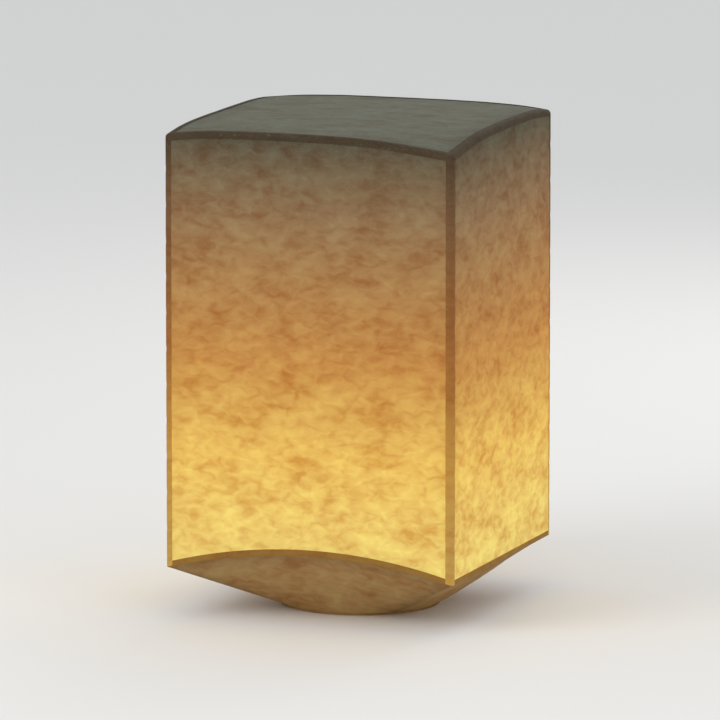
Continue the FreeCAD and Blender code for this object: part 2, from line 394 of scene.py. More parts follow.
# ---- shader trees -------------------------------------------------------------------------
class Graph:
    """Lays out one node tree."""

    def __init__(self, tree: bpy.types.NodeTree) -> None:
        """Takes the tree to work in."""
        self.tree = tree

    def add(self, kind: str, inputs: dict | None = None, **settings: object) -> bpy.types.Node:
        """Adds a node.

        Args:
            kind: the node's type.
            inputs: its inputs, each a value or a socket to link from.
            settings: its own options.

        Returns:
            The new node.
        """
        node = self.tree.nodes.new(kind)
        for key, value in settings.items():
            setattr(node, key, value)
        for key, value in (inputs or {}).items():
            if isinstance(value, Socket):
                self.tree.links.new(value, node.inputs[key])
            else:
                node.inputs[key].default_value = value
        return node

    def math(self, operation: str, a: object, b: object = 0.0) -> Socket:
        """The result of a sum on one or two numbers."""
        return self.add("ShaderNodeMath", {0: a, 1: b}, operation=operation).outputs[0]

    def fit(self, value: Socket, low: float, high: float, to_low: float, to_high: float) -> Socket:
        """A value brought from one range to another, and held inside it."""
        inputs = {"Value": value, "From Min": low, "From Max": high, "To Min": to_low, "To Max": to_high}
        return self.add("ShaderNodeMapRange", inputs).outputs["Result"]

    def mix(self, share: object, a: object, b: object, blend: str = "MIX") -> Socket:
        """Two colours mixed."""
        def paint(value: object) -> object:
            """A socket as it is, or a colour with full alpha."""
            return value if isinstance(value, Socket) else (*value, 1.0)
        node = self.add("ShaderNodeMix", data_type="RGBA", blend_type=blend)
        for index, value in ((0, share), (6, paint(a)), (7, paint(b))):
            if isinstance(value, Socket):
                self.tree.links.new(value, node.inputs[index])
            else:
                node.inputs[index].default_value = value
        return node.outputs[2]

    def grey(self, value: Socket) -> Socket:
        """A number as a colour."""
        return self.add("ShaderNodeCombineColor", {0: value, 1: value, 2: value}).outputs[0]

    def ramp(self, value: Socket, stops: Sequence[tuple[float, Colour]]) -> Socket:
        """A colour that changes with a number through the stops."""
        node = self.add("ShaderNodeValToRGB", {"Fac": value})
        elements = node.color_ramp.elements
        elements[0].position, elements[1].position = stops[0][0], stops[-1][0]
        elements[0].color, elements[1].color = (*stops[0][1], 1.0), (*stops[-1][1], 1.0)
        for place, colour in stops[1:-1]:
            elements.new(place).color = (*colour, 1.0)
        return node.outputs["Color"]

    def noise(self, vector: Socket, scale: float, detail: float, distortion: float = 0.0) -> Socket:
        """Noise from 0 to 1 with lumps of about 1 / scale metres."""
        inputs = {"Vector": vector, "Scale": scale, "Detail": detail, "Distortion": distortion}
        return self.add("ShaderNodeTexNoise", inputs).outputs[0]

    def attribute(self, name: str) -> Socket:
        """A number stored on the mesh."""
        return self.add("ShaderNodeAttribute", attribute_name=name).outputs["Fac"]

    def cut_map(self) -> Socket:
        """Where a point lies on the flat sheet or along the strand."""
        return self.add("ShaderNodeUVMap", uv_map=CUT_MAP).outputs["UV"]


class EffectGroups:
    """The effects that several finishes share, each built once."""

    # lumps in a metre, the part of the noise's range that a fibre takes, and how much it bends
    FIBRES = ((34.0, 0.012, 1.4), (88.0, 0.022, 2.2))
    WIDE_CLOUDS, CLOSE_CLOUDS, GRAIN = 15.0, 50.0, 420.0      # lumps in a metre

    @staticmethod
    def start(name: str, inputs: Sequence[tuple[str, str]],
              outputs: Sequence[tuple[str, str]]) -> tuple[Graph, bpy.types.Node, bpy.types.Node]:
        """A new node group.

        Args:
            name: the group's name.
            inputs: its input sockets, as names and kinds.
            outputs: its output sockets, likewise.

        Returns:
            Its graph, its input node and its output node.
        """
        tree = bpy.data.node_groups.new(name, "ShaderNodeTree")
        for socket, kind in inputs:
            tree.interface.new_socket(socket, in_out="INPUT", socket_type=kind)
        for socket, kind in outputs:
            tree.interface.new_socket(socket, in_out="OUTPUT", socket_type=kind)
        return Graph(tree), tree.nodes.new("NodeGroupInput"), tree.nodes.new("NodeGroupOutput")

    @classmethod
    def pulp(cls) -> bpy.types.NodeTree:
        """Handmade paper: long fibres, cloudy density and a fine grain, from the flat sheet's place."""
        graph, given, made = cls.start(
            "paper_pulp", [("Place", PLACE)],
            [("Fibres", NUMBER), ("Clouds", NUMBER), ("Grain", NUMBER), ("Height", NUMBER)])
        place = given.outputs["Place"]
        fibres = None
        for scale, width, bend in cls.FIBRES:
            line = graph.math("ABSOLUTE", graph.math("SUBTRACT", graph.noise(place, scale, 2.0, bend), 0.5))
            line = graph.fit(line, 0.0, width, 1.0, 0.0)
            broken = graph.fit(graph.noise(place, scale * 1.7, 1.0), 0.48, 0.62, 0.0, 1.0)
            line = graph.math("MULTIPLY", line, broken)
            fibres = line if fibres is None else graph.math("MAXIMUM", fibres, line)
        laid = graph.add("ShaderNodeVectorMath", {0: place, 1: (0.75, 1.25, 1.0)},
                         operation="MULTIPLY").outputs[0]
        wide = graph.noise(laid, cls.WIDE_CLOUDS, 3.0, 0.3)
        close = graph.noise(laid, cls.CLOSE_CLOUDS, 3.0, 0.6)
        clouds = graph.math("ADD", graph.math("MULTIPLY", wide, 0.5), graph.math("MULTIPLY", close, 0.5))
        grain = graph.noise(place, cls.GRAIN, 2.0)
        height = graph.math("ADD", graph.math("MULTIPLY", fibres, 0.5), graph.math("MULTIPLY", grain, 0.35))
        height = graph.math("ADD", height, graph.math("MULTIPLY", close, 0.5))
        for socket, value in (("Fibres", fibres), ("Clouds", clouds), ("Grain", grain), ("Height", height)):
            graph.tree.links.new(value, made.inputs[socket])
        return graph.tree

    @classmethod
    def lit_paper(cls, glow: "FlameGlow") -> bpy.types.NodeTree:
        """The colours of flame-lit paper by its height in the lantern; its body colour darkens at the top as
        painted shade.
        """
        graph, given, made = cls.start("lit_paper", [("Rise", NUMBER)],
                                       [("Body", PAINT), ("Glow", PAINT)])
        for socket, stops in (("Body", glow.body), ("Glow", glow.glow())):
            graph.tree.links.new(graph.ramp(given.outputs["Rise"], stops), made.inputs[socket])
        return graph.tree

    @classmethod
    def seam_shade(cls) -> bpy.types.NodeTree:
        """A soft mask for painted shade near a seam: 1 at the seam and 0 beyond its reach."""
        graph, given, made = cls.start(
            "seam_shade", [("Gap", NUMBER), ("Reach", NUMBER)], [("Shade", NUMBER)])
        share = graph.math("DIVIDE", given.outputs["Gap"], given.outputs["Reach"])
        near = graph.math("SUBTRACT", 1.0, graph.math("MINIMUM", share, 1.0))
        graph.tree.links.new(graph.math("POWER", near, 2.0), made.inputs["Shade"])
        return graph.tree

    @classmethod
    def streaks(cls) -> bpy.types.NodeTree:
        """Lines that run along a strip or strand, as in bamboo, drawn wire and plied thread."""
        graph, given, made = cls.start(
            "streaks", [("Place", PLACE), ("Along", NUMBER), ("Across", NUMBER)],
            [("Streaks", NUMBER)])
        parts = graph.add("ShaderNodeSeparateXYZ", {0: given.outputs["Place"]})
        stretched = graph.add("ShaderNodeCombineXYZ", {
            0: graph.math("MULTIPLY", parts.outputs[0], given.outputs["Along"]),
            1: graph.math("MULTIPLY", parts.outputs[1], given.outputs["Across"])})
        graph.tree.links.new(graph.noise(stretched.outputs[0], 1.0, 4.0, 0.2), made.inputs["Streaks"])
        return graph.tree


# ---- finishes -----------------------------------------------------------------------------
@dataclass(frozen=True)
class Dressing:
    """A material, and the record's slot that it fills."""

    material: bpy.types.Material
    slot: str


class Bench:
    """A material in the making: its graph, its shader, and the shared effects at hand."""

    def __init__(self, name: str, groups: dict[str, bpy.types.NodeTree]) -> None:
        """Starts a material.

        Args:
            name: the material's name.
            groups: the shared effects by name.
        """
        self.groups = groups
        self.material = bpy.data.materials.new(name)
        self.material.use_nodes = True
        self.graph = Graph(self.material.node_tree)
        self.shader = self.material.node_tree.nodes["Principled BSDF"]

    def effect(self, effect: str, **inputs: object) -> bpy.types.Node:
        """Places a shared effect in the material."""
        return self.graph.add("ShaderNodeGroup", inputs, node_tree=self.groups[effect])

    def streaks(self, along: float, across: float) -> Socket:
        """Lines along the strip, by how often they change along it and across it in a metre."""
        return self.effect("streaks", Place=self.graph.cut_map(), Along=along, Across=across).outputs[0]

    def bump(self, height: Socket, strength: float, depth: float) -> Socket:
        """The normal of a surface with a small relief."""
        inputs = {"Strength": strength, "Distance": depth, "Height": height}
        return self.graph.add("ShaderNodeBump", inputs).outputs[0]

    def dress(self, slot: str, **changing: Socket) -> Dressing:
        """Links what changes over the surface to the shader.

        Args:
            slot: the record's material slot.
            changing: the shader's sockets, with _ for each space, and what feeds them.

        Returns:
            The material with its slot.
        """
        for socket, value in changing.items():
            self.graph.tree.links.new(value, self.shader.inputs[socket.replace("_", " ")])
        return Dressing(self.material, slot)


@dataclass(frozen=True)
class FlameGlow:
    """How the flame's light shows through the walls, by height.

    Each stop is a rise and the colour that the paper shows there in the studio. The glow is what is
    left of that colour once the paper's body colour, lit by the studio, is taken away. The body colour
    darkens towards the top: that is painted shade, where the flame's light falls off.
    """

    seen: tuple[tuple[float, Colour], ...] = (
        (0.10, srgb(248, 215, 120)), (0.35, srgb(242, 195, 100)), (0.55, srgb(205, 148, 80)),
        (0.85, srgb(150, 120, 85)), (1.00, srgb(98, 90, 72)))
    # the body colour darkens towards the top: painted shade, where the flame's light falls off
    body: tuple[tuple[float, Colour], ...] = (
        (0.10, (0.18, 0.12, 0.05)), (0.50, (0.14, 0.10, 0.048)), (1.00, (0.070, 0.058, 0.040)))
    studio: float = 1.45       # how brightly the studio light brings out the body colour

    def shaded_body_at(self, rise: float) -> Colour:
        """The paper's body colour at a rise, between its stops, darker towards the top as painted shade."""
        for (low, a), (high, b) in zip(self.body, self.body[1:]):
            if rise <= high:
                share = (rise - low) / (high - low)
                return tuple(p + (q - p) * share for p, q in zip(a, b))
        return self.body[-1][1]

    def glow(self) -> list[tuple[float, Colour]]:
        """The glow's stops."""
        return [(rise, tuple(max(c - self.studio * b, 0.0) for c, b in zip(colour, self.shaded_body_at(rise))))
                for rise, colour in self.seen]


@dataclass(frozen=True)
class PaperFinish:
    """Thin fibrous paper, lit by height or evenly."""

    name: str
    slot: str
    tint: Colour = (1.0, 1.0, 1.0)            # multiplies the colours of paper lit by height
    even_body: Colour | None = None           # the body colour of paper that isn't lit by height
    even_glow: Colour | None = None           # its glow, if any shows
    mottle: float = 0.38                      # how much the clouds change its brightness
    dense: Colour = (0.50, 0.95, 1.30)        # what a dense patch takes from each colour
    thin: Colour = (0.35, 0.75, 0.85)         # what a thin patch adds to each
    fibre_glow: float = 0.12                  # how much darker a fibre shows against the light
    fibre_pale: float = 0.12                  # how much paler it is than the paper round it
    fibre_colour: Colour = (0.50, 0.42, 0.30)
    seam_reach: float = 0.045
    seam_shading: float = 0.0                    # how much painted shade darkens the paper near its seams
    relief: float = 0.35
    relief_depth: float = 0.35 * MM
    roughness: tuple[float, float] = (0.74, 0.90)

    def build(self, groups: dict[str, bpy.types.NodeTree]) -> Dressing:
        """Makes the material from the shared effects."""
        bench = Bench(self.name, groups)
        graph = bench.graph
        pulp = bench.effect("pulp", Place=graph.cut_map())
        shade = bench.effect("seam_shade", Gap=graph.attribute(SEAM_GAP), Reach=self.seam_reach)
        light = graph.ramp(pulp.outputs["Clouds"], [
            (0.34, tuple(1.0 - self.mottle * share for share in self.dense)), (0.50, (1.0, 1.0, 1.0)),
            (0.66, tuple(1.0 + self.mottle * share for share in self.thin))])
        # painted shade: the paper darkens near its seams and at the throat's crease
        seam = graph.fit(shade.outputs["Shade"], 0.0, 1.0, 1.0, 1.0 - self.seam_shading)
        light = graph.mix(1.0, light, graph.grey(seam), "MULTIPLY")
        body, glow = self.even_body, self.even_glow
        if body is None:
            lit = bench.effect("lit_paper", Rise=graph.attribute(RISE))
            # the lit body colour carries the painted shade towards the top
            body = graph.mix(1.0, lit.outputs["Body"], self.tint, "MULTIPLY")
            glow = graph.mix(1.0, lit.outputs["Glow"], self.tint, "MULTIPLY")
        pale = graph.math("MULTIPLY", pulp.outputs["Fibres"], self.fibre_pale)
        body = graph.mix(pale, graph.mix(1.0, body, light, "MULTIPLY"), self.fibre_colour)
        bench.shader.inputs["Specular IOR Level"].default_value = 0.15
        if glow is not None:
            fibre = graph.fit(pulp.outputs["Fibres"], 0.0, 1.0, 1.0, 1.0 - self.fibre_glow)
            glow = graph.mix(1.0, glow, graph.mix(1.0, light, graph.grey(fibre), "MULTIPLY"), "MULTIPLY")
            bench.shader.inputs["Emission Strength"].default_value = 1.0
            bench.dress(self.slot, Emission_Color=glow)
        return bench.dress(
            self.slot, Base_Color=body,
            Roughness=graph.fit(pulp.outputs["Grain"], 0.2, 0.8, *self.roughness),
            Normal=bench.bump(pulp.outputs["Height"], self.relief, self.relief_depth))


@dataclass(frozen=True)
class BambooFinish:
    """Split bamboo, with its fibres along the strip."""

    dark: Colour = srgb(158, 120, 66)
    pale: Colour = srgb(222, 196, 138)
    bright: Colour = srgb(232, 205, 145)

    def build(self, groups: dict[str, bpy.types.NodeTree]) -> Dressing:
        """Makes the material from the shared effects."""
        bench = Bench("split_bamboo", groups)
        graph = bench.graph
        fibre, broad = bench.streaks(30.0, 2600.0), bench.streaks(9.0, 420.0)
        both = graph.math("ADD", graph.math("MULTIPLY", fibre, 0.55), graph.math("MULTIPLY", broad, 0.45))
        return bench.dress(
            "split_bamboo",
            Base_Color=graph.ramp(both, [(0.30, self.dark), (0.52, self.pale), (0.75, self.bright)]),
            Roughness=graph.fit(fibre, 0.3, 0.7, 0.62, 0.42), Normal=bench.bump(fibre, 0.4, 0.15 * MM))


@dataclass(frozen=True)
class ThreadFinish:
    """Plied cotton thread, with its plies twisting round it."""

    name: str
    ply_pitch: float = 1.1 * MM
    # the dark colour is painted shade in the grooves between the plies, mixed with the fuzz's random tone
    dark: Colour = srgb(146, 126, 92)
    pale: Colour = srgb(226, 214, 186)

    def build(self, groups: dict[str, bpy.types.NodeTree]) -> Dressing:
        """Makes the material from the shared effects."""
        bench = Bench(self.name, groups)
        graph = bench.graph
        place = graph.add("ShaderNodeSeparateXYZ", {0: graph.cut_map()})
        wound = graph.math("ADD", place.outputs[0], graph.math("MULTIPLY", place.outputs[1], 0.9))
        # the ply's low part paints shade into the grooves between the plies
        ply = graph.math("SINE", graph.math("MULTIPLY", wound, FULL_TURN / self.ply_pitch))
        ply = graph.fit(ply, -1.0, 1.0, 0.0, 1.0)
        fuzz = bench.streaks(900.0, 3000.0)
        both = graph.math("ADD", graph.math("MULTIPLY", ply, 0.6), graph.math("MULTIPLY", fuzz, 0.4))
        bench.shader.inputs["Sheen Weight"].default_value = 0.25
        return bench.dress(
            "cotton_thread", Base_Color=graph.ramp(both, [(0.1, self.dark), (0.8, self.pale)]),
            Roughness=graph.fit(fuzz, 0.3, 0.7, 0.75, 0.92), Normal=bench.bump(both, 0.6, 0.1 * MM))


@dataclass(frozen=True)
class WireFinish:
    """Soft annealed iron wire: dark oxide, with brighter rubbed places."""

    oxide: Colour = (0.060, 0.056, 0.054)
    rubbed: Colour = (0.33, 0.32, 0.31)

    def build(self, groups: dict[str, bpy.types.NodeTree]) -> Dressing:
        """Makes the material from the shared effects."""
        bench = Bench("annealed_wire", groups)
        graph = bench.graph
        drawn = bench.streaks(120.0, 1500.0)
        worn = graph.fit(graph.noise(graph.cut_map(), 260.0, 3.0), 0.45, 0.65, 0.0, 1.0)
        both = graph.math("MULTIPLY", worn, graph.fit(drawn, 0.3, 0.7, 0.4, 1.0))
        return bench.dress(
            "iron_wire", Base_Color=graph.mix(both, self.oxide, self.rubbed),
            Roughness=graph.fit(both, 0.0, 1.0, 0.62, 0.38), Metallic=graph.fit(both, 0.0, 1.0, 0.75, 1.0),
            Normal=bench.bump(drawn, 0.3, 0.05 * MM))


@dataclass(frozen=True)
class WaxFinish:
    """Rolled paper soaked in wax: cream, a little glossy, browner towards the top where it burns."""

    cream: Colour = srgb(233, 214, 166)
    amber: Colour = srgb(196, 152, 88)
    shadowed: Colour = srgb(122, 86, 46)      # between the turns
    scorched: Colour = srgb(74, 50, 30)

    def build(self, groups: dict[str, bpy.types.NodeTree]) -> Dressing:
        """Makes the material from the shared effects."""
        bench = Bench("waxed_roll", groups)
        graph = bench.graph
        place = graph.cut_map()
        pulp = bench.effect("pulp", Place=place)
        soaked = graph.fit(graph.noise(place, 140.0, 4.0, 0.6), 0.35, 0.68, 0.0, 1.0)
        waxed = graph.mix(soaked, self.cream, self.amber)
        colour = graph.mix(graph.attribute(WINDING), waxed, self.shadowed)
        blotch = graph.fit(graph.noise(place, 210.0, 3.0), 0.3, 0.7, -0.22, 0.22)
        burnt = graph.fit(graph.math("ADD", graph.attribute(BURN), blotch), 0.45, 1.05, 0.0, 0.85)
        return bench.dress(
            "waxed_paper", Base_Color=graph.mix(burnt, colour, self.scorched),
            Roughness=graph.fit(soaked, 0.0, 1.0, 0.52, 0.34),
            Normal=bench.bump(pulp.outputs["Height"], 0.35, 0.2 * MM))


Finish = PaperFinish | BambooFinish | ThreadFinish | WireFinish | WaxFinish


class Finishes:
    """Every finish of the lantern, built from one set of shared effects."""

    def __init__(self) -> None:
        """Builds the effect groups and then the materials."""
        self.groups = {"pulp": EffectGroups.pulp(), "lit_paper": EffectGroups.lit_paper(FlameGlow()),
                       "seam_shade": EffectGroups.seam_shade(), "streaks": EffectGroups.streaks()}
        self.wall = self.made(PaperFinish("wall_paper", "lantern_paper", seam_shading=0.10))
        self.seam = self.made(PaperFinish("seam_tape", "seam_tape", tint=(0.60, 0.50, 0.44), mottle=0.25,
                                          relief=0.5))
        # painted shade: the foot tape is the corner tapes' material, darkened where it lies in the crease at
        # the wall's foot
        self.foot = self.made(PaperFinish("foot_tape", "seam_tape", tint=(0.32, 0.22, 0.17), mottle=0.25,
                                          relief=0.5))
        # painted light and shade: the top sheet's dark grey-green stands for dusk light on paper that the
        # flame's glow doesn't reach
        self.lid = self.made(PaperFinish("top_paper", "lantern_paper_top", even_body=srgb(94, 93, 79),
                                         seam_shading=0.22, seam_reach=0.07, mottle=0.30))
        self.throat = self.made(PaperFinish("throat_paper", "treated_paper", even_body=srgb(150, 118, 76),
                                            even_glow=(0.060, 0.034, 0.010), seam_shading=0.30,
                                            seam_reach=0.05, mottle=0.36, relief=0.5))
        self.hem = self.made(PaperFinish("hem_paper", "seam_tape", even_body=srgb(128, 98, 62),
                                         even_glow=(0.02, 0.011, 0.003), relief=0.6))
        self.bamboo = self.made(BambooFinish())
        self.whipping = self.made(ThreadFinish("whipping_thread"))
        self.binding = self.made(ThreadFinish("binding_thread", ply_pitch=1.8 * MM))
        self.wire = self.made(WireFinish())
        self.wax = self.made(WaxFinish())

    def made(self, finish: Finish) -> Dressing:
        """The dressing of one finish."""
        return finish.build(self.groups)


# ---- envelope -----------------------------------------------------------------------------
@dataclass(frozen=True)
class FilledForm:
    """Where each point of the paper lies when the lantern is open and full of warm air.

    A ripple is a place in the noise, a pitch in metres and a height: a wall's is a share of its
    cockle, and the top's is in millimetres.
    """

    half: float
    top: float
    corner_level: float
    crown_level: float
    hoop_radius: float
    hoop_foot: float
    hem_top: float
    corner_radius: float = 9.0 * MM      # the soft upright edges
    shoulder: float = 7.0 * MM           # the soft upper edges
    puff: float = 12.0 * MM              # how far the upper edges rise between the corners
    dome: float = 3.0 * MM               # how far the top rises inside its edges
    belly: float = 7.0 * MM              # how far the walls swell
    throat_belly: float = 5.0 * MM
    droop: float = 13.0 * MM             # how far the slackest corner hangs
    droop_reach: float = 0.15
    cockle: float = 1.0 * MM             # the paper's own waviness
    crease_pitch: float = 0.067          # between the level creases left by folding
    crease_depth: float = 1.8 * MM
    tucks: int = 14                      # small puckers across each throat sheet, near the hoop
    tuck_depth: float = 1.1 * MM
    seam_hold: float = 0.12              # the share of a wall's half width that a seam holds flat
    end_hold: float = 0.06               # the share of its height that each end holds flat
    crease_wander: float = 6.0 * MM      # how far a crease strays up and down
    crease_width: float = 0.3            # its half width, in half pitches
    lid_edge_share: float = 0.25         # the share of the top's half width where its ripples grow
    wall_ripples: tuple[tuple[float, float, float], ...] = ((0, 0.16, 1.3), (5, 0.05, 0.5))
    lid_ripples: tuple[tuple[float, float, float], ...] = ((3.1, 0.11, 1.6), (7.7, 0.04, 0.5))
    throat_outward: Vector = field(default_factory=lambda: Vector((0, -0.7, -0.7)))

    @property
    def reach(self) -> float:
        """Half of a wall's width, measured round the soft edges."""
        return self.half - self.corner_radius + self.corner_radius * math.pi / 4

    @property
    def soft_arc(self) -> float:
        """The paper's length round the soft upper edge."""
        return self.shoulder * math.pi / 2

    def plan(self, across: float) -> tuple[Vector, Vector]:
        """The front wall's place and outward direction, seen from above.

        Args:
            across: metres from the wall's middle, measured round the soft edges.

        Returns:
            The point and the direction, both level.
        """
        flat = self.half - self.corner_radius
        angle = max(abs(across) - flat, 0.0) / self.corner_radius
        way = math.copysign(1.0, across)
        x = min(abs(across), flat) + self.corner_radius * math.sin(angle)
        y = -self.half + self.corner_radius * (1 - math.cos(angle))
        return Vector((way * x, y, 0)), Vector((way * math.sin(angle), -math.cos(angle), 0))

    def foot_level(self, side: Side, x: float) -> float:
        """The height of a wall's lower edge, x from its middle."""
        rise = self.crown_level - self.corner_level
        if not side.arched:
            return self.corner_level
        radius = (self.half ** 2 + rise ** 2) / (2 * rise)
        return self.crown_level - radius + math.sqrt(radius ** 2 - x ** 2)

    def lid_level(self, x: float, y: float) -> float:
        """The height of the top sheet, and of the walls' upper edges beside it."""
        a, b = x / self.half, y / self.half
        puffed_x, puffed_y = 1 - a ** 4, 1 - b ** 4
        level = self.top + self.puff * (puffed_x + puffed_y - puffed_x * puffed_y)
        level += self.dome * max(1 - a * a, 0) * max(1 - b * b, 0)
        slack = math.dist((x, y), (self.half, -self.half)) / self.droop_reach
        level -= self.droop * math.exp(-slack * slack)
        ripple = sum(rough(x, y, seed, pitch) * height for seed, pitch, height in self.lid_ripples)
        inside = smooth((1 - max(abs(a), abs(b))) / self.lid_edge_share)
        return level + MM * ripple * (0.35 + 0.65 * inside)

    def climb(self, side: Side, across: float) -> tuple[float, float]:
        """A wall's lowest height, and its length up to the end of the soft upper edge."""
        place, out = self.plan(across)
        end = side.turn(place - out * self.shoulder)
        foot = self.foot_level(side, place.x)
        straight = self.lid_level(end.x, end.y) - self.shoulder - foot
        return foot, straight + self.soft_arc

    def swell(self, side: Side, across: float, level: float, share: float) -> float:
        """How far a wall stands out from flat."""
        place, _ = self.plan(across)
        x = place.x / self.half
        seed = 10.0 * side.value
        from_seam = smooth((1 - abs(x)) / self.seam_hold)
        from_ends = smooth(min(share, 1 - share) / self.end_hold)
        wave = sum(rough(place.x, seed + more, level, pitch) * height
                   for more, pitch, height in self.wall_ripples)
        drift = level + self.crease_wander * from_seam * rough(place.x, seed + 9, level, 0.2)
        fold = abs((drift / self.crease_pitch) % 1.0 - 0.5) * 2
        firm = 0.3 + from_seam * (0.4 + 0.3 * rough(place.x, seed, level, 0.09))
        crease = firm * (1 - smooth(fold / self.crease_width))
        belly = self.belly * (1 - x * x) * math.sin(math.pi * min(max(share, 0), 1)) ** 0.7
        return belly + from_ends * (from_seam * self.cockle * wave - self.crease_depth * crease)

    def wall(self, side: Side, across: float, up: float) -> Vector:
        """A point of a wall.

        Args:
            side: which wall.
            across: metres from its middle, round the soft edges.
            up: metres up from its lower edge, round the soft upper edge.

        Returns:
            The point.
        """
        place, out = self.plan(across)
        foot, length = self.climb(side, across)
        straight = length - self.soft_arc
        angle = max(up - straight, 0.0) / self.shoulder
        level = foot + min(up, straight) + self.shoulder * math.sin(angle)
        inset = self.shoulder * (1 - math.cos(angle))
        stand = self.swell(side, across, level, min(up / straight, 1.0)) if up < straight else 0.0
        point = place + out * (stand - inset)
        return side.turn(Vector((point.x, point.y, level)))

    def lid_edge(self, side: Side, across: float, inward: float) -> Vector:
        """A point of the top sheet, a distance inward from the end of the soft upper edge."""
        place, out = self.plan(across)
        point = side.turn(place - out * (self.shoulder + inward))
        return Vector((point.x, point.y, self.lid_level(point.x, point.y)))

    def throat(self, side: Side, across: float, down: float) -> Vector:
        """A point of a throat sheet.

        Args:
            side: which sheet.
            across: from -1 at its left seam to 1 at its right one.
            down: from 0 at the wall to 1 at the hem's upper edge.

        Returns:
            The point.
        """
        upper = self.wall(side, across * self.reach, 0.0)
        angle = across * math.pi / 4
        lower = side.turn(Vector((self.hoop_radius * math.sin(angle), -self.hoop_radius * math.cos(angle),
                                  self.hem_top)))
        out = side.turn(self.throat_outward)
        middle = 1 - across * across
        stand = self.throat_belly * middle * math.sin(math.pi * down)
        wander = 0.35 * rough(across, side.value, down, 0.3)
        pucker = math.sin(math.pi * self.tucks * (across + wander * 0.12))
        stand += self.tuck_depth * pucker * middle ** 0.5 * down ** 2 * smooth((1 - down) / 0.12)
        stand += self.cockle * rough(upper.x * (1 - down), upper.y * (1 - down), 9.0 + down, 0.08) * (
            math.sin(math.pi * down) * middle ** 0.5)
        return upper.lerp(lower, down) + out * stand


